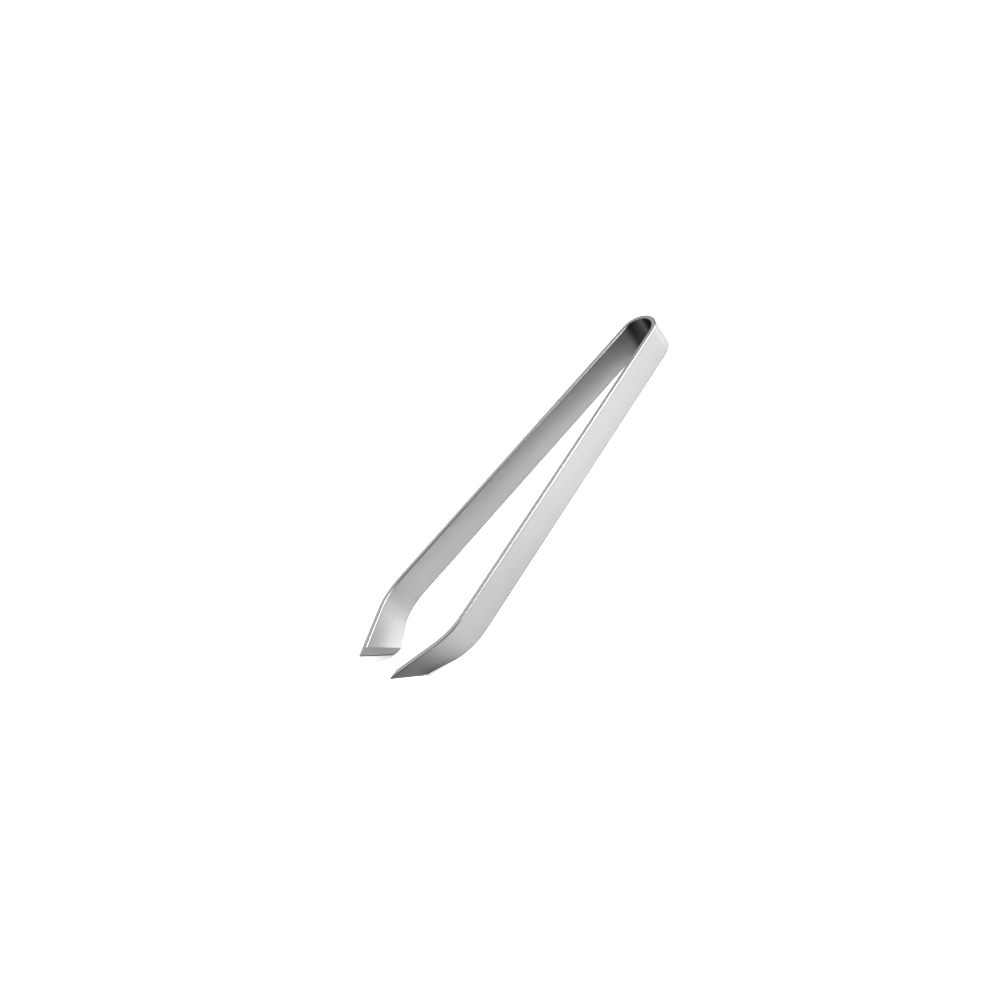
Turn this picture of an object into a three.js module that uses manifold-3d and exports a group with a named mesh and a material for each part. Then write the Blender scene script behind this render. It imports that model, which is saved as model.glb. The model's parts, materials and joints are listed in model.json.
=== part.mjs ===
// Stamp tongs: one strip of spring steel folded into a bow, with two long arms and two slanted jaws that
// bend inwards, each with a facet ground inside its tip so that the tips meet flat.
//
// Millimetres, +Z up. The tongs lie on their long narrow edges: X runs across the opening, Y along the
// tongs with the bow at +Y, and Z across the width of the strip. The origin is at the bottom centre.
// Every shape is worked out on the right-hand side, at +X, and mirrored for the left.
import * as THREE from 'three';
import { mergeVertices } from 'three/addons/utils/BufferGeometryUtils.js';
import Module from 'manifold-3d';

// Driving dimensions
const OVERALL_LENGTH = 120;
const STRIP_WIDTH = 9;
const STRIP_THICKNESS = 1.4;
const EDGE_CHAMFER = 0.2;
const BOW_INNER_RADIUS = 4.2;
const ARM_FLARE = THREE.MathUtils.degToRad(5.65);
const JAW_BEND = THREE.MathUtils.degToRad(30.5);
const JAW_BEND_INNER_RADIUS = 16.2;
const JAW_HEEL = 1; // straight strip that the jaw keeps ahead of its bend
const BEND_SLANT = 2.1; // how much further the top edge reaches than the bottom one, at the bend
const TIP_SLANT = 6.25; // and at the tip: in between the jaw twists, so that the whole tip edge can meet
const TIP_BLUNTING = 0.12;
const NEAR_CORNER_EASE = 0.6;
const FAR_CORNER_EASE = 1.6;
const FACET_RELIEF = THREE.MathUtils.degToRad(4); // the toes touch first, then the facets close flat

// How the tongs close: each arm turns about an upright axis in the middle of its spring leg, this far
// from the end of the bow's arc, until the tips are a clearance away from the middle plane
const HINGE_DISTANCE = 16.5;
const CLOSING_ANGLE = THREE.MathUtils.degToRad(4.2);
const TIP_CLEARANCE = 0.05;

// The parting gap between neighbouring regions of the strip
const PARTING_GAP = 0.3;

const ARC_STEPS = 16;
const JAW_STEPS = 6;
const HEIGHT_STEPS = 4;
const EASE_STEPS = 4;
const REACH = 40; // cutters run at least this far past what they cut
const STEEL = { color: 0xb9babc, roughness: 0.3, metalness: 1 };

// Derived dimensions
const BOW_OUTER_RADIUS = BOW_INNER_RADIUS + STRIP_THICKNESS;
const BOW_MEAN_RADIUS = BOW_INNER_RADIUS + STRIP_THICKNESS / 2;
const JAW_BEND_OUTER_RADIUS = JAW_BEND_INNER_RADIUS + STRIP_THICKNESS;
const JAW_FACING = ARM_FLARE - JAW_BEND;

// Directions in plan: along the arm and the jaw towards the tip, and out of their outer faces
const along = (facing) => new THREE.Vector2(Math.sin(facing), -Math.cos(facing));
const outward = (facing) => new THREE.Vector2(Math.cos(facing), Math.sin(facing));
const armAlong = along(ARM_FLARE);
const armOutward = outward(ARM_FLARE);
const jawAlong = along(JAW_FACING);
const jawOutward = outward(JAW_FACING);

// The bow's centre, the start of the arm's outer face, and the hinge in the middle of the strip
const bowCentre = new THREE.Vector2(0, OVERALL_LENGTH / 2 - BOW_OUTER_RADIUS);
const armStart = bowCentre.clone().addScaledVector(armOutward, BOW_OUTER_RADIUS);
const hinge = bowCentre.clone()
  .addScaledVector(armOutward, BOW_MEAN_RADIUS)
  .addScaledVector(armAlong, HINGE_DISTANCE);

// The sharp tip on the top edge: its Y comes from the overall length, and its X is what closing the arm
// brings to the middle plane
const tip = new THREE.Vector2(0, -OVERALL_LENGTH / 2);
const tipSwing = (tip.y - hinge.y) * Math.sin(CLOSING_ANGLE);
tip.x = hinge.x + (TIP_CLEARANCE - hinge.x - tipSwing) / Math.cos(CLOSING_ANGLE);
const closedTip = tip.clone().rotateAround(hinge, -CLOSING_ANGLE);

// The straight arm and the straight jaw are as long as it takes to lead the outer face to the tip
const bendStep = jawOutward.clone().sub(armOutward).multiplyScalar(JAW_BEND_OUTER_RADIUS);
const straightRun = tip.clone().sub(armStart).sub(bendStep);
const ARM_LENGTH = straightRun.cross(jawAlong) / armAlong.cross(jawAlong);
const JAW_LENGTH = armAlong.cross(straightRun) / armAlong.cross(jawAlong);
const bendCentre = armStart.clone()
  .addScaledVector(armAlong, ARM_LENGTH)
  .addScaledVector(armOutward, -JAW_BEND_OUTER_RADIUS);
const bendEnd = bendCentre.clone().addScaledVector(jawOutward, JAW_BEND_OUTER_RADIUS);
const JAW_START = ARM_LENGTH - BEND_SLANT - JAW_HEEL;

const wasm = await Module();
wasm.setup();

/** A closed three.js geometry, placed by a matrix that may mirror it, as a solid that can be cut. */
function solidOf(geometry, placing = new THREE.Matrix4()) {
  const bare = geometry.clone().applyMatrix4(placing);
  bare.deleteAttribute('normal');
  bare.deleteAttribute('uv');
  const merged = mergeVertices(bare, 1e-5);
  const triVerts = new Uint32Array(merged.index.array);
  if (placing.determinant() < 0) triVerts.reverse();
  const vertProperties = new Float32Array(merged.attributes.position.array);
  return new wasm.Manifold(new wasm.Mesh({ numProp: 3, vertProperties, triVerts }));
}

/** A solid as a named mesh of its own steel, measured from the place that its group stands at. */
function meshOf(name, solid, place = new THREE.Vector3()) {
  const cut = solid.getMesh();
  const geometry = new THREE.BufferGeometry();
  geometry.setAttribute('position', new THREE.BufferAttribute(cut.vertProperties, 3));
  geometry.setIndex(new THREE.BufferAttribute(cut.triVerts, 1));
  geometry.translate(-place.x, -place.y, -place.z);
  geometry.computeVertexNormals();
  const mesh = new THREE.Mesh(geometry, new THREE.MeshStandardMaterial(STEEL));
  mesh.name = name;
  return mesh;
}

/** Points along the straight part of a face of the right-hand jaw, from next to the bend to past the tip. */
function jawLine(bendRadius) {
  const start = bendCentre.clone().addScaledVector(jawOutward, bendRadius);
  const step = (JAW_LENGTH + 2 * STRIP_THICKNESS) / JAW_STEPS;
  const points = [];
  for (let i = 1; i <= JAW_STEPS; i += 1) {
    points.push(start.clone().addScaledVector(jawAlong, i * step));
  }
  return points;
}

/** Both arms and the bow seen from above, with the jaws running on past their tips. */
function tongsOutline() {
  const outer = jawLine(JAW_BEND_OUTER_RADIUS);
  const inner = jawLine(JAW_BEND_INNER_RADIUS);
  const { x, y } = bendCentre;
  const outline = new THREE.Shape([inner.at(-1), ...outer.toReversed()]);
  outline.absarc(x, y, JAW_BEND_OUTER_RADIUS, JAW_FACING, ARM_FLARE, false);
  outline.absarc(0, bowCentre.y, BOW_OUTER_RADIUS, ARM_FLARE, Math.PI - ARM_FLARE, false);
  outline.absarc(-x, y, JAW_BEND_OUTER_RADIUS, Math.PI - ARM_FLARE, Math.PI - JAW_FACING, false);
  [...outer, ...inner.toReversed()].forEach((point) => outline.lineTo(-point.x, point.y));
  outline.absarc(-x, y, JAW_BEND_INNER_RADIUS, Math.PI - JAW_FACING, Math.PI - ARM_FLARE, true);
  outline.absarc(0, bowCentre.y, BOW_INNER_RADIUS, Math.PI - ARM_FLARE, ARM_FLARE, true);
  outline.absarc(x, y, JAW_BEND_INNER_RADIUS, ARM_FLARE, JAW_FACING, true);
  inner.slice(0, -1).forEach((point) => outline.lineTo(point.x, point.y));
  return outline;
}

/** The folded strip with eased edges, before its tips are ground. */
function foldedStrip() {
  const geometry = new THREE.ExtrudeGeometry(tongsOutline(), {
    depth: STRIP_WIDTH - 2 * EDGE_CHAMFER,
    steps: HEIGHT_STEPS,
    bevelSize: EDGE_CHAMFER,
    bevelThickness: EDGE_CHAMFER,
    bevelOffset: -EDGE_CHAMFER,
    bevelSegments: 1,
    curveSegments: ARC_STEPS,
  });
  geometry.translate(0, 0, EDGE_CHAMFER);
  slantJaws(geometry.attributes.position);
  return solidOf(geometry);
}

/** Draws each jaw back along its arm, from nothing at the top edge to the whole slant at the bottom. The
 * slant grows along the straight part of the jaw. */
function slantJaws(points) {
  const point = new THREE.Vector2();
  for (let i = 0; i < points.count; i += 1) {
    const side = Math.sign(points.getX(i));
    point.set(side * points.getX(i), points.getY(i)).sub(armStart);
    if (point.dot(armAlong) > ARM_LENGTH - JAW_HEEL) {
      const alongJaw = point.add(armStart).sub(bendEnd).dot(jawAlong) / JAW_LENGTH;
      const slant = BEND_SLANT + (TIP_SLANT - BEND_SLANT) * Math.max(alongJaw, 0);
      const drawBack = slant * (1 - points.getZ(i) / STRIP_WIDTH);
      points.setX(i, points.getX(i) - side * armAlong.x * drawBack);
      points.setY(i, points.getY(i) - armAlong.y * drawBack);
    }
  }
}

/** A block round the strip that starts and ends at these distances along the arm. */
function armBlock(start, end) {
  const inwardReach = 13;
  const outwardReach = 3;
  const block = new THREE.BoxGeometry(inwardReach + outwardReach, end - start, STRIP_WIDTH + 2);
  block.translate((outwardReach - inwardReach) / 2, -(start + end) / 2, STRIP_WIDTH / 2);
  block.rotateZ(ARM_FLARE);
  block.translate(armStart.x, armStart.y, 0);
  return block;
}

/** What the grinding wheel takes off inside the tip: all that would cross the middle plane when closed,
 * tilted about the tip's edge by the relief. */
function facetBlock() {
  const block = new THREE.BoxGeometry(REACH, 2 * REACH, 2 * REACH);
  block.translate(-REACH / 2, 0, 0);
  const tipEdge = new THREE.Vector3(0, -TIP_SLANT, STRIP_WIDTH).normalize();
  block.applyMatrix4(new THREE.Matrix4().makeRotationAxis(tipEdge, -FACET_RELIEF));
  block.translate(closedTip.x, closedTip.y, STRIP_WIDTH);
  return block;
}

/** A block across both faces of the closed jaw whose outline, seen along X, is the strip with a blunted,
 * slanted end and eased corners. */
function tipBlank() {
  const topCorner = new THREE.Vector2(closedTip.y + TIP_BLUNTING, STRIP_WIDTH);
  const bottomCorner = new THREE.Vector2(topCorner.x + TIP_SLANT, 0);
  const edge = bottomCorner.clone().sub(topCorner).normalize();
  const outline = new THREE.Shape();
  outline.moveTo(bottomCorner.x + REACH, 0);
  outline.lineTo(bottomCorner.x + REACH, STRIP_WIDTH);
  outline.lineTo(topCorner.x + NEAR_CORNER_EASE, STRIP_WIDTH);
  const easedTop = topCorner.clone().addScaledVector(edge, NEAR_CORNER_EASE);
  outline.quadraticCurveTo(topCorner.x, topCorner.y, easedTop.x, easedTop.y);
  const easedBottom = bottomCorner.clone().addScaledVector(edge, -FAR_CORNER_EASE);
  outline.lineTo(easedBottom.x, easedBottom.y);
  outline.quadraticCurveTo(bottomCorner.x, bottomCorner.y, bottomCorner.x + FAR_CORNER_EASE, 0);
  const blank = new THREE.ExtrudeGeometry(outline, {
    depth: REACH,
    bevelEnabled: false,
    curveSegments: EASE_STEPS,
  });
  // The outline's first axis lies along Y and its second along Z, so that the blank is as deep as X
  const axes = [new THREE.Vector3(0, 1, 0), new THREE.Vector3(0, 0, 1), new THREE.Vector3(1, 0, 0)];
  blank.applyMatrix4(new THREE.Matrix4().makeBasis(...axes));
  blank.translate(-REACH / 2, 0, 0);
  return blank;
}

/** One side of the tongs: a group that stands at the hinge and holds the arm and its jaw. */
function buildArm(sideName, side, strip) {
  const mirror = new THREE.Matrix4().makeScale(side, 1, 1);
  const opening = new THREE.Matrix4().makeTranslation(hinge.x, hinge.y, 0)
    .multiply(new THREE.Matrix4().makeRotationZ(CLOSING_ANGLE))
    .multiply(new THREE.Matrix4().makeTranslation(-hinge.x, -hinge.y, 0))
    .premultiply(mirror);
  const armRegion = armBlock(HINGE_DISTANCE + PARTING_GAP / 2, JAW_START - PARTING_GAP / 2);
  const jawRegion = armBlock(JAW_START + PARTING_GAP / 2, ARM_LENGTH + REACH);
  const arm = strip.intersect(solidOf(armRegion, mirror));
  const jaw = strip.intersect(solidOf(jawRegion, mirror))
    .intersect(solidOf(tipBlank(), opening))
    .subtract(solidOf(facetBlock(), opening));
  const group = new THREE.Group();
  group.position.set(side * hinge.x, hinge.y, 0);
  group.add(meshOf(`${sideName}_arm`, arm, group.position));
  group.add(meshOf(`${sideName}_jaw`, jaw, group.position));
  return group;
}

/** The bow: the strip without its arms, cut square across each spring leg at the hinge. */
function buildBow(strip) {
  const past = armBlock(HINGE_DISTANCE - PARTING_GAP / 2, ARM_LENGTH + REACH);
  const rightCut = solidOf(past);
  const leftCut = solidOf(past, new THREE.Matrix4().makeScale(-1, 1, 1));
  return meshOf('spring_bow', strip.subtract(rightCut).subtract(leftCut));
}

const strip = foldedStrip();
const tongs = new THREE.Group();
tongs.add(buildBow(strip));
tongs.add(buildArm('left', -1, strip));
tongs.add(buildArm('right', 1, strip));

export default tongs;
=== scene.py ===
"""The looks of a pair of stamp tongs: one folded strip of satin steel, on a pale studio floor."""

import json
import math

import bmesh
import bpy
from mathutils import Matrix, Vector


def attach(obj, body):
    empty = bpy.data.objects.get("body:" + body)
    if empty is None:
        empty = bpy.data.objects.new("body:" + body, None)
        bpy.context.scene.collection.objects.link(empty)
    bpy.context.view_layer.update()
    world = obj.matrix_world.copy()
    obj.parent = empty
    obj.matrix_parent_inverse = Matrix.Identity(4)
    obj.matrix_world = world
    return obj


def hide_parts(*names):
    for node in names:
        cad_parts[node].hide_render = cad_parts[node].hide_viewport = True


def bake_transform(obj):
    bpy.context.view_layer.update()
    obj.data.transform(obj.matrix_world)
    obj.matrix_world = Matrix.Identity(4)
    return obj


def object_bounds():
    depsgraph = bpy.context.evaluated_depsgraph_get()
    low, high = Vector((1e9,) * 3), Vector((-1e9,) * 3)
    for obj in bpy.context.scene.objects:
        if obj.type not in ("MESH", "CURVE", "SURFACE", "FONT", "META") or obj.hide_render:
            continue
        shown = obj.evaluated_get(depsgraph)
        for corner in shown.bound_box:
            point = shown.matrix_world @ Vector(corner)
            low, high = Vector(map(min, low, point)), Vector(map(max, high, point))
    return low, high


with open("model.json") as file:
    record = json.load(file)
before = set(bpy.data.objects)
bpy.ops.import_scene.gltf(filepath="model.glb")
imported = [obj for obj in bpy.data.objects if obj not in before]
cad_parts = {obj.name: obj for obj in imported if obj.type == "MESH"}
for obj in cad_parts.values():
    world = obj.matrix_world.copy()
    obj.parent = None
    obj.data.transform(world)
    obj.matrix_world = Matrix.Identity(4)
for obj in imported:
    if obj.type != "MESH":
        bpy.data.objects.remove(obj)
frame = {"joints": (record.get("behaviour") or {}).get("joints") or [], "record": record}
cad_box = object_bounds()

MM = 0.001

# The strip, in metres and radians: the same driving dimensions as the CAD model
STRIP_THICKNESS = 1.4 * MM
BOW_RADIUS = 4.9 * MM  # to the middle of the strip, as is the jaw bend's
JAW_BEND_RADIUS = 16.9 * MM
ARM_FLARE = math.radians(5.65)
JAW_BEND = math.radians(30.5)
BEND_SLANT = 2.1 * MM
TIP_SLANT = 6.25 * MM
TIP_CLEARANCE = 0.05 * MM
TIP_BLUNTING = 0.12 * MM
TOP_CORNER_EASE = 0.6 * MM
BOTTOM_CORNER_EASE = 1.6 * MM
EDGE_RADIUS = 0.24 * MM  # rounded, where the CAD model has plain chamfers

# From the frame: the strip's width, the crown of the bow, the right-hand hinge and the ground facets
STRIP_WIDTH = cad_box[1].z - cad_box[0].z
CROWN_Y = cad_box[1].y - STRIP_THICKNESS / 2
HINGE = next(Vector(j["pos_m"]).xy for j in frame["joints"] if j["child"] == "right_arm")
CLOSING_ANGLE = math.radians(frame["joints"][0]["range_deg"][1])
FACETS = {
    mount["name"].split("_")[0]: (Vector(mount["pos_m"]), Vector(mount["axis"]))
    for mount in frame["record"]["mounts"]
    if mount["name"].endswith("grip_facet")
}

# How finely the strip is divided, how its curvature grows at the ends of its bends, and how it is meshed
BOW_STEP = 0.16 * MM
LEG_STEP = 0.9 * MM
BEND_STEP = 0.25 * MM
CORNER_STEPS = 5
FACE_STEPS = 6
EDGE_STEPS = 2
EASE_CUTS = 8
SUBSTEPS = 8  # the path is added up in this many steps between two stations
UV_LENGTH = 150 * MM  # the length of strip that one unit of UV space covers
SUPPORT = 0.05 * MM  # flat band that keeps each flat face flat next to its rounded corner
SEAM = 3 * MM  # how much of each straight spring leg belongs to the bow
SEAM_TOLERANCE = LEG_STEP / 8
BOW_RAMP = 1.6 * MM  # the ramps are the lengths over which the curvature grows or fades
JAW_RAMP = 4 * MM
MERGE_DISTANCE = 1e-7
SHARP_ANGLE = math.radians(28)


# ---- The strip's path -------------------------------------------------------------------------------

def along(facing):
    """The way towards the tip, in plan."""
    return Vector((math.sin(facing), -math.cos(facing)))


def outward(facing):
    """The way out of the strip's outer face, in plan."""
    return Vector((math.cos(facing), math.sin(facing)))


def turned_in_plan(vector, angle):
    """A vector in plan, turned anticlockwise."""
    return Vector((
        vector.x * math.cos(angle) - vector.y * math.sin(angle),
        vector.x * math.sin(angle) + vector.y * math.cos(angle),
    ))


def sharp_tip():
    """Where the outer face of the right arm ends on the top edge, at rest.

    Closing brings it to the tip clearance from the middle plane."""
    y = -cad_box[1].y
    swing = (y - HINGE.y) * math.sin(CLOSING_ANGLE)
    return Vector((HINGE.x + (TIP_CLEARANCE - HINGE.x - swing) / math.cos(CLOSING_ANGLE), y))


def straight_lengths():
    """How long the straight arm and the straight jaw are, for the outer face to end at the tip."""
    arm, jaw = along(ARM_FLARE), along(ARM_FLARE - JAW_BEND)
    bow_centre = Vector((0, CROWN_Y - BOW_RADIUS))
    start = bow_centre + outward(ARM_FLARE) * (BOW_RADIUS + STRIP_THICKNESS / 2)
    bend = outward(ARM_FLARE - JAW_BEND) - outward(ARM_FLARE)
    run = sharp_tip() - start - bend * (JAW_BEND_RADIUS + STRIP_THICKNESS / 2)
    across = arm.x * jaw.y - arm.y * jaw.x
    return (run.x * jaw.y - run.y * jaw.x) / across, (arm.x * run.y - arm.y * run.x) / across


ARM_LENGTH, JAW_LENGTH = straight_lengths()
LEG_START = BOW_RADIUS * (math.pi / 2 - ARM_FLARE)  # distances along the strip, from the crown
BEND_START = LEG_START + ARM_LENGTH
BEND_END = BEND_START + JAW_BEND_RADIUS * JAW_BEND
STRIP_END = BEND_END + JAW_LENGTH + 2 * STRIP_THICKNESS  # past the tip, for the grinding to cut back
SLANT_START = LEG_START + 40 * MM  # the mesh starts to lean here, well past the part that flexes


def ramped(distance, ramp):
    """Distance past a point, as a rounded corner: nothing before the ramp, all of it after the ramp."""
    share = distance / ramp + 0.5
    if share <= 0:
        return 0
    return ramp * (share * share / 2 if share < 1 else share - 0.5)


def facing_at(distance):
    """Which way the strip faces, at a distance along it from the crown."""
    bow = distance - ramped(distance - LEG_START, BOW_RAMP)
    jaw = ramped(distance - BEND_START, JAW_RAMP) - ramped(distance - BEND_END, JAW_RAMP)
    return math.pi / 2 - bow / BOW_RADIUS - jaw / JAW_BEND_RADIUS


def spaced(start, end, step):
    """Distances from start up to end, end left out, about a step apart."""
    count = max(1, round((end - start) / step))
    return [start + (end - start) * i / count for i in range(count)]


def half_strip_stations():
    """(distance, place, facing) from the crown to past the right-hand tip, added up in small steps."""
    distances = (
        spaced(0, LEG_START + BOW_RAMP, BOW_STEP)
        + spaced(LEG_START + BOW_RAMP, LEG_START + SEAM, LEG_STEP)
        + spaced(LEG_START + SEAM, BEND_START - JAW_RAMP, LEG_STEP)
        + spaced(BEND_START - JAW_RAMP, BEND_END + JAW_RAMP, BEND_STEP)
        + spaced(BEND_END + JAW_RAMP, STRIP_END, LEG_STEP)
        + [STRIP_END]
    )
    place = Vector((0, CROWN_Y))
    stations = [(0, place.copy(), facing_at(0))]
    for before, distance in zip(distances, distances[1:]):
        step = (distance - before) / SUBSTEPS
        for i in range(SUBSTEPS):
            place += along(facing_at(before + (i + 0.5) * step)) * step
        stations.append((distance, place.copy(), facing_at(distance)))
    return stations


# ---- The strip's section ----------------------------------------------------------------------------

# Material slots: wide faces, narrow edges, ground facets and eased corners
FACE, EDGE, FACET, CORNER = range(4)


def flat_between(start, end, count):
    """Points between start and end, both left out: a support point next to each, and even steps between."""
    step = (end - start).normalized() * SUPPORT
    inner_start, inner_end = start + step, end - step
    return [inner_start.lerp(inner_end, i / count) for i in range(count + 1)]


def section():
    """The strip's section as a closed ring of (offset out of the strip, height) and each side's material.

    It runs over the top edge, down the inner face, under the bottom edge and up the outer face."""
    half, radius = STRIP_THICKNESS / 2, EDGE_RADIUS
    low, high = radius, STRIP_WIDTH - radius
    centres = [(half - radius, high), (radius - half, high), (radius - half, low), (half - radius, low)]
    corners = []
    for quarter, centre in enumerate(centres):
        angles = [math.pi / 2 * (quarter + i / CORNER_STEPS) for i in range(CORNER_STEPS + 1)]
        corners.append([Vector(centre) + Vector((math.cos(a), math.sin(a))) * radius for a in angles])
    ring, slots = [], []
    for quarter, corner in enumerate(corners):
        following = corners[(quarter + 1) % 4][0]
        wide = quarter % 2 == 1  # after the top inner corner and after the bottom outer one
        flat = flat_between(corner[-1], following, FACE_STEPS if wide else EDGE_STEPS)
        ring += corner + flat
        slots += [CORNER] * (len(corner) - 1) + [FACE if wide else EDGE] * (len(flat) + 1)
    return ring, slots


# ---- Meshes -----------------------------------------------------------------------------------------

def lean(distance, height):
    """How far a point is drawn back along the arm: nothing at the top edge, the whole slant at the bottom.

    The slant grows along the arm, is steady through the bend and grows again along the straight jaw."""
    on_arm = (distance - SLANT_START) / (BEND_START - JAW_RAMP - SLANT_START)
    on_jaw = ramped(distance - BEND_END, JAW_RAMP) / JAW_LENGTH
    slant = BEND_SLANT * min(max(on_arm, 0), 1) + (TIP_SLANT - BEND_SLANT) * on_jaw
    return slant * (1 - height / STRIP_WIDTH)


def ring_lengths(ring):
    """How far round the section each of its points is, and the whole way round at the end."""
    lengths = [0]
    for point, following in zip(ring, ring[1:] + ring[:1]):
        lengths.append(lengths[-1] + (following - point).length)
    return lengths


def loft(stations, side):
    """A closed bmesh of the section carried along the stations, mirrored for the left side.

    The layer strip_place holds where each point is on the unbent strip: along, through and up it."""
    ring, slots = section()
    bm = bmesh.new()
    strip_place = bm.verts.layers.float_vector.new("strip_place")
    unrolled = bm.loops.layers.uv.new("unrolled")
    around = ring_lengths(ring)
    rows = []
    for distance, place, facing in stations:
        row = []
        for offset, height in ring:
            back = lean(abs(distance), height)
            point = place + outward(facing) * offset - along(ARM_FLARE) * back
            vert = bm.verts.new((side * point.x, point.y, height))
            vert[strip_place] = (side * (distance - back), offset, height)
            row.append(vert)
        rows.append(row)
    count = len(ring)
    for row, following, station, next_station in zip(rows, rows[1:], stations, stations[1:]):
        for i in range(count):
            j = (i + 1) % count
            corners = [
                (row[i], around[i], station[0]),
                (row[j], around[i + 1], station[0]),
                (following[j], around[i + 1], next_station[0]),
                (following[i], around[i], next_station[0]),
            ]
            if side < 0:
                corners.reverse()
            face = bm.faces.new([vert for vert, _, _ in corners])
            face.material_index = slots[i]
            for loop, (_, u, v) in zip(face.loops, corners):
                loop[unrolled].uv = (u / UV_LENGTH, v / UV_LENGTH)
    for row, flip in ((rows[0], side > 0), (rows[-1], side < 0)):
        bm.faces.new(row[::-1] if flip else row).material_index = EDGE
    bmesh.ops.recalc_face_normals(bm, faces=bm.faces)
    return bm


def grind(bm, point, normal, slot):
    """Cuts off all of the jaw that lies on the side of a plane that its normal points to."""
    jaw_reach = JAW_LENGTH + 6 * MM  # so that the planes don't cut the arm too
    jaw = [f for f in bm.faces if max(v.co.y for v in f.verts) < -cad_box[1].y + jaw_reach]
    edges = {e for f in jaw for e in f.edges}
    verts = {v for f in jaw for v in f.verts}
    cut = bmesh.ops.bisect_plane(
        bm, geom=[*verts, *edges, *jaw], dist=MERGE_DISTANCE,
        plane_co=point, plane_no=normal, clear_outer=True,
    )
    rim = [e for e in cut["geom_cut"] if isinstance(e, bmesh.types.BMEdge)]
    bmesh.ops.edgeloop_fill(bm, edges=rim, mat_nr=slot)


def tip_outline_planes():
    """Planes that blunt the closed jaw and ease its corners: (point, normal) in (y, z), from the side."""
    tip_y = turned_in_plan(sharp_tip() - HINGE, -CLOSING_ANGLE).y + HINGE.y + TIP_BLUNTING
    top, bottom = Vector((tip_y, STRIP_WIDTH)), Vector((tip_y + TIP_SLANT, 0))
    edge = (bottom - top).normalized()
    back = Vector((1, 0))
    corners = [
        (top + back * TOP_CORNER_EASE, top, top + edge * TOP_CORNER_EASE),
        (bottom - edge * BOTTOM_CORNER_EASE, bottom, bottom + back * BOTTOM_CORNER_EASE),
    ]
    planes = [(top, Vector((edge.y, -edge.x)))]
    for start, corner, end in corners:
        for i in range(1, EASE_CUTS):
            share = i / EASE_CUTS
            point = start.lerp(corner, share).lerp(corner.lerp(end, share), share)
            way = (corner - start).lerp(end - corner, share).normalized()
            planes.append((point, Vector((way.y, -way.x))))
    return planes


def grind_tip(bm, side_name, side):
    """Rounds and blunts the tip's outline, then grinds the gripping facet inside it."""
    for point, normal in tip_outline_planes():
        opened = turned_in_plan(Vector((-HINGE.x, point.x - HINGE.y)), CLOSING_ANGLE) + HINGE
        facing = turned_in_plan(Vector((0, normal.x)), CLOSING_ANGLE)
        grind(
            bm,
            Vector((side * opened.x, opened.y, point.y)),
            Vector((side * facing.x, facing.y, normal.y)),
            EDGE,
        )
    point, normal = FACETS[side_name]
    grind(bm, point, normal, FACET)


def piece_from(bm, name, materials):
    """The bmesh as an object in the scene, smooth except across its sharp edges."""
    bmesh.ops.dissolve_degenerate(bm, dist=MERGE_DISTANCE, edges=bm.edges)
    mesh = bpy.data.meshes.new(name)
    bm.to_mesh(mesh)
    bm.free()
    mesh.shade_smooth()
    mesh.set_sharp_from_angle(angle=SHARP_ANGLE)
    for material in materials:
        mesh.materials.append(material)
    piece = bpy.data.objects.new(name, mesh)
    bpy.context.scene.collection.objects.link(piece)
    return piece


# ---- Materials --------------------------------------------------------------------------------------

GRAIN_ANISOTROPY = 0.93  # brushing along the strip spreads reflections across it
MARK_CELL = (9 * MM, 9 * MM, 5 * MM)
STREAK_SHADE = 0.97  # the colour of the darkest streaks, next to the lightest
NOISE_LOW, NOISE_HIGH = 0.3, 0.7  # the middle of a noise's range, where nearly all of it lies

# Painted shade, as (distances from the crown, offsets out of the strip, shade). Each zone grows from the
# first
# distance and offset to the second: painted shade on the bow's inside, where the strip shades itself, and a
# painted dark reflection of the shaded floor on the outside of the jaws towards the tips.
PAINTED_SHADE_ZONES = [
    ((9 * MM, 6 * MM), (-0.4 * MM, -0.6 * MM), 0.41),
    ((BEND_END - 8 * MM, STRIP_END - 5 * MM), (0.4 * MM, 0.6 * MM), 0.34),
]


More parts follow.
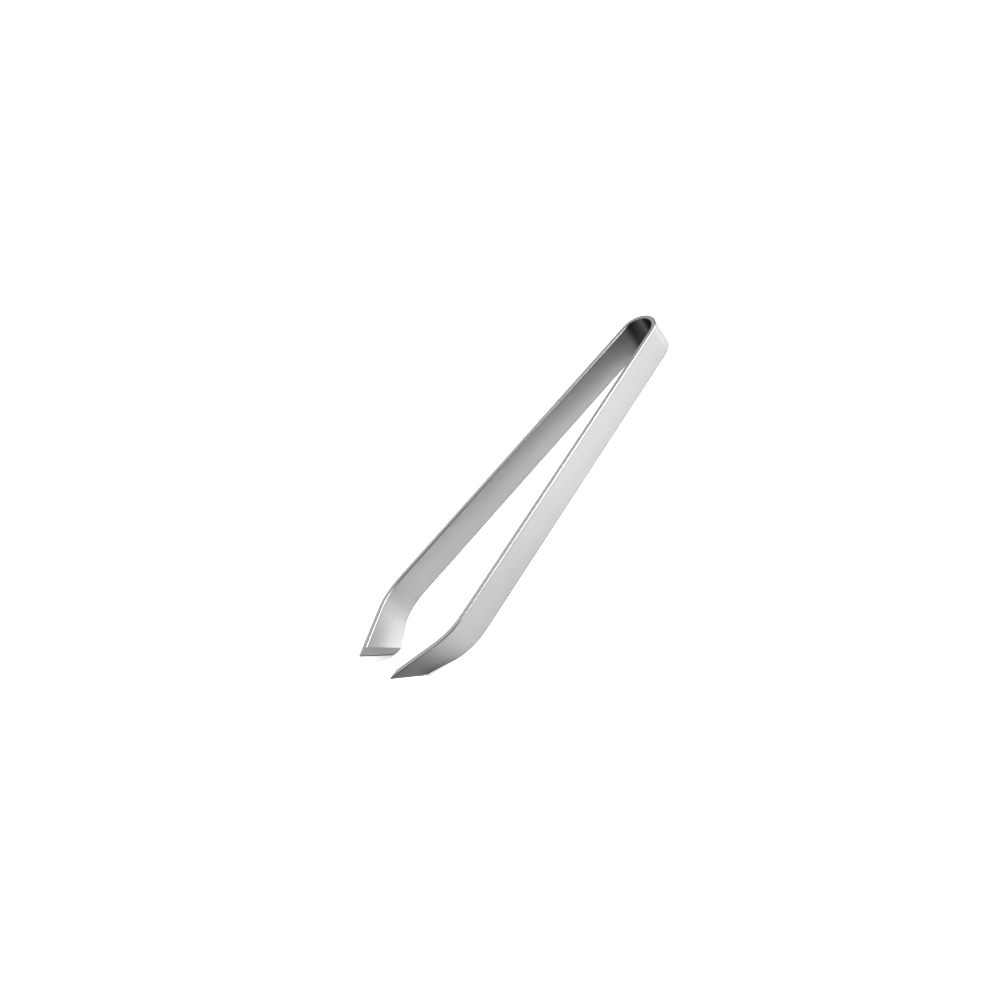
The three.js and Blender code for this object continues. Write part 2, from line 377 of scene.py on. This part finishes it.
class Nodes:
    """A material's node tree, with a short way to add nodes and join them."""

    def __init__(self, name):
        self.material = bpy.data.materials.new(name)
        self.material.use_nodes = True
        self.tree = self.material.node_tree
        self.shader = self.tree.nodes["Principled BSDF"]

    def add(self, kind, links=None, **settings):
        """A node, its settings or unlinked inputs, and the sockets that its other inputs come from."""
        node = self.tree.nodes.new(kind)
        for key, value in settings.items():
            if key in node.inputs:
                node.inputs[key].default_value = value
            else:
                setattr(node, key, value)
        for key, source in (links or {}).items():
            self.tree.links.new(source, node.inputs[key])
        return node

    def set(self, **values):
        """Sets the shader's own sockets, with underscores for the spaces in their names."""
        for key, value in values.items():
            self.shader.inputs[key.replace("_", " ")].default_value = value

    def join(self, source, socket):
        self.tree.links.new(source, self.shader.inputs[socket])

    def noise(self, place, cell, detail=3.0, roughness=0.55):
        """Noise in the strip's own coordinates, with cells of the given size (along, through, up)."""
        scaled = self.add("ShaderNodeMapping", {"Vector": place})
        scaled.inputs["Scale"].default_value = [1 / size for size in cell]
        return self.add(
            "ShaderNodeTexNoise", {"Vector": scaled.outputs["Vector"]},
            Scale=1.0, Detail=detail, Roughness=roughness,
        ).outputs["Fac"]

    def ranged(self, value, low, high):
        """The value, stretched from the middle of a noise's range to low .. high."""
        return self.add(
            "ShaderNodeMapRange", {"Value": value},
            **{"From Min": NOISE_LOW, "From Max": NOISE_HIGH, "To Min": low, "To Max": high},
        ).outputs["Result"]

    def zone(self, place, distances, offsets):
        """A share from 0 to 1 that rises between two distances from the crown and two offsets."""
        axes = self.add("ShaderNodeSeparateXYZ", {"Vector": place}).outputs
        distance = self.add("ShaderNodeMath", {0: axes["X"]}, operation="ABSOLUTE").outputs[0]
        shares = [
            self.add(
                "ShaderNodeMapRange", {"Value": value}, interpolation_type="SMOOTHSTEP",
                **{"From Min": start, "From Max": end},
            ).outputs["Result"]
            for value, (start, end) in ((distance, distances), (axes["Y"], offsets))
        ]
        return self.add("ShaderNodeMath", {0: shares[0], 1: shares[1]}, operation="MULTIPLY").outputs[0]

    def sum(self, first, second):
        return self.add("ShaderNodeMath", {0: first, 1: second}, operation="ADD").outputs[0]


def steel(name, tint, roughness, grain_cell, streak_cell, grain_depth):
    """Steel with fine grain, broader streaks and faint handling marks, in the strip's own coordinates.

    The cells are sizes along, through and up the strip. The roughness is the range that the grain covers,
    and the streaks and marks each add up to a third of that range either way."""
    nodes = Nodes(name)
    place = nodes.add("ShaderNodeAttribute", attribute_name="strip_place").outputs["Vector"]
    grain = nodes.noise(place, grain_cell, detail=4.0)
    streaks = nodes.noise(place, streak_cell, detail=2.0)
    marks = nodes.noise(place, MARK_CELL, detail=2.0)
    low, high = roughness
    spread = (high - low) / 3
    uneven = nodes.sum(
        nodes.ranged(grain, low, high),
        nodes.sum(nodes.ranged(streaks, -spread, spread), nodes.ranged(marks, -spread, spread)),
    )
    nodes.join(uneven, "Roughness")
    shade = nodes.add("ShaderNodeMix", {"Factor": nodes.ranged(streaks, 0.0, 1.0)}, data_type="RGBA")
    shade.inputs["A"].default_value = [c * STREAK_SHADE for c in tint] + [1]
    shade.inputs["B"].default_value = [*tint, 1]
    colour = shade.outputs["Result"]
    # Painted shade: the colour is multiplied darker in each zone, inside the bow and on the jaws' outer
    # faces towards the tips.
    for distances, offsets, darkest in PAINTED_SHADE_ZONES:
        painted_shade = nodes.add(
            "ShaderNodeMix", {"Factor": nodes.zone(place, distances, offsets)},
            data_type="RGBA", blend_type="MULTIPLY",
        )
        nodes.tree.links.new(colour, painted_shade.inputs["A"])
        painted_shade.inputs["B"].default_value = (darkest, darkest, darkest, 1)
        colour = painted_shade.outputs["Result"]
    nodes.join(colour, "Base Color")
    bump = nodes.add("ShaderNodeBump", {"Height": grain}, Strength=1.0, Distance=grain_depth)
    nodes.join(bump.outputs["Normal"], "Normal")
    tangent = nodes.add("ShaderNodeTangent", direction_type="UV_MAP", uv_map="unrolled")
    nodes.join(tangent.outputs["Tangent"], "Tangent")
    nodes.set(Metallic=1.0, Anisotropic=GRAIN_ANISOTROPY)
    return nodes.material


def steel_materials():
    """The wide faces' satin, the polished narrow edges, the ground facets, and the rounded corners tinted
    darker as painted shade.
    """
    return [
        steel("satin_steel", (0.42, 0.421, 0.423), (0.29, 0.31),
              (7 * MM, 0.10 * MM, 0.10 * MM), (30 * MM, 0.8 * MM, 0.8 * MM), 0.0002 * MM),
        steel("polished_edge_steel", (0.46, 0.461, 0.463), (0.14, 0.20),
              (2 * MM, 0.12 * MM, 0.12 * MM), (12 * MM, 0.6 * MM, 0.6 * MM), 0.0004 * MM),
        steel("ground_facet_steel", (0.33, 0.331, 0.333), (0.30, 0.38),
              (0.07 * MM, 1.5 * MM, 1.5 * MM), (0.4 * MM, 6 * MM, 6 * MM), 0.001 * MM),
        # Painted shade: the rounded corners are tinted darker than the faces, which stands in for the dark
        # reflections along the strip's outlines.
        steel("painted_shade_corner_steel", (0.34, 0.341, 0.343), (0.12, 0.18),
              (2 * MM, 0.12 * MM, 0.12 * MM), (12 * MM, 0.6 * MM, 0.6 * MM), 0.0003 * MM),
    ]


# ---- The object -------------------------------------------------------------------------------------

def mirrored(station):
    """The same station on the left half of the strip, with its distance counted backwards."""
    distance, place, facing = station
    return -distance, Vector((-place.x, place.y)), math.pi - facing


def build_bow(stations, materials):
    """The bow and the start of both spring legs, which stay still."""
    right = [s for s in stations if s[0] <= LEG_START + SEAM + SEAM_TOLERANCE]
    left = [mirrored(s) for s in reversed(right[1:])]
    piece = piece_from(loft(left + right, 1), "bow_strip", materials)
    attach(piece, "bow")
    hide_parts("spring_bow")


def build_arm(stations, materials, side_name, side):
    """One arm and its jaw, from the seam on."""
    beyond = [s for s in stations if s[0] >= LEG_START + SEAM - SEAM_TOLERANCE]
    bm = loft(beyond, side)
    grind_tip(bm, side_name, side)
    piece = piece_from(bm, f"{side_name}_arm_strip", materials)
    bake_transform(piece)
    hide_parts(f"{side_name}_arm", f"{side_name}_jaw")


# ---- The studio -------------------------------------------------------------------------------------

def build_floor():
    """A plain pale floor that reaches past the picture's corners."""
    reach = 12.0  # metres each way
    mesh = bpy.data.meshes.new("studio_floor")
    corners = [(-reach, -reach, 0), (reach, -reach, 0), (reach, reach, 0), (-reach, reach, 0)]
    mesh.from_pydata(corners, [], [(0, 1, 2, 3)])
    floor = bpy.data.objects.new("studio_floor", mesh)
    bpy.context.scene.collection.objects.link(floor)
    nodes = Nodes("studio_floor")
    nodes.set(Base_Color=(0.9, 0.9, 0.9, 1), Roughness=0.9)
    mesh.materials.append(nodes.material)


AMBIENT = 0.42

# Soft lights around the tongs: degrees from +X towards +Y, degrees up, strength and narrowness
SOFT_LIGHTS = [
    (42, 45, 19.0, 60),
    (80, 45, 5.6, 30),
    (66, 26, 5.3, 32),
    (60, 10, 7.3, 60),
    (24, 10, 4.0, 60),
    (165, 40, 0.9, 10),
    (20, 47, 7.0, 90),
    (270, 55, 4.3, 12),
]


def build_lights():
    """A world that is dim all round and brightens smoothly towards the middle of each soft light."""
    world = bpy.data.worlds.new("studio")
    world.use_nodes = True
    tree = world.node_tree
    direction = tree.nodes.new("ShaderNodeTexCoord").outputs["Generated"]

    def calculated(operation, first, second):
        node = tree.nodes.new("ShaderNodeMath")
        node.operation = operation
        tree.links.new(first, node.inputs[0])
        if isinstance(second, bpy.types.NodeSocket):
            tree.links.new(second, node.inputs[1])
        else:
            node.inputs[1].default_value = second
        return node.outputs[0]

    strength = None
    for azimuth, elevation, power, narrowness in SOFT_LIGHTS:
        around, up = math.radians(azimuth), math.radians(elevation)
        towards = tree.nodes.new("ShaderNodeVectorMath")
        towards.operation = "DOT_PRODUCT"
        tree.links.new(direction, towards.inputs[0])
        towards.inputs[1].default_value = (
            math.cos(up) * math.cos(around), math.cos(up) * math.sin(around), math.sin(up),
        )
        # power * e ^ (narrowness * (cosine - 1))
        fall = calculated("MULTIPLY", calculated("SUBTRACT", towards.outputs["Value"], 1), narrowness)
        raised = tree.nodes.new("ShaderNodeMath")
        raised.operation = "EXPONENT"
        tree.links.new(fall, raised.inputs[0])
        glow = calculated("MULTIPLY", raised.outputs[0], power)
        strength = calculated("ADD", glow, AMBIENT if strength is None else strength)
    background = tree.nodes["Background"]
    background.inputs["Color"].default_value = (1, 1, 1, 1)
    tree.links.new(strength, background.inputs["Strength"])
    bpy.context.scene.world = world


def build_camera():
    """The main camera, turned about its own line of sight by the roll."""
    azimuth, elevation, roll = math.radians(72.44), math.radians(38.39), math.radians(-40.92)
    distance = 259.11 * MM
    aim = Vector((-6.72, -4.93, 4.5)) * MM
    back = Vector((
        math.sin(azimuth) * math.cos(elevation),
        -math.cos(azimuth) * math.cos(elevation),
        math.sin(elevation),
    ))
    level = Vector((0, 0, 1)).cross(back).normalized()
    upright = back.cross(level)
    right = math.cos(roll) * level + math.sin(roll) * upright
    up = back.cross(right)
    data = bpy.data.cameras.new("photo_camera")
    data.sensor_width = 36
    data.lens = 35.0
    data.clip_start = 0.01
    camera = bpy.data.objects.new("photo_camera", data)
    camera.matrix_world = Matrix.Translation(aim + back * distance) @ Matrix(
        (right, up, back)
    ).transposed().to_4x4()
    bpy.context.scene.collection.objects.link(camera)
    bpy.context.scene.camera = camera


path = half_strip_stations()
steels = steel_materials()
build_bow(path, steels)
build_arm(path, steels, "left", -1)
build_arm(path, steels, "right", 1)
build_floor()
build_lights()
build_camera()
bpy.context.scene.view_settings.view_transform = "Standard"
bpy.context.scene.view_settings.gamma = 0.667  # more contrast, as in a product picture
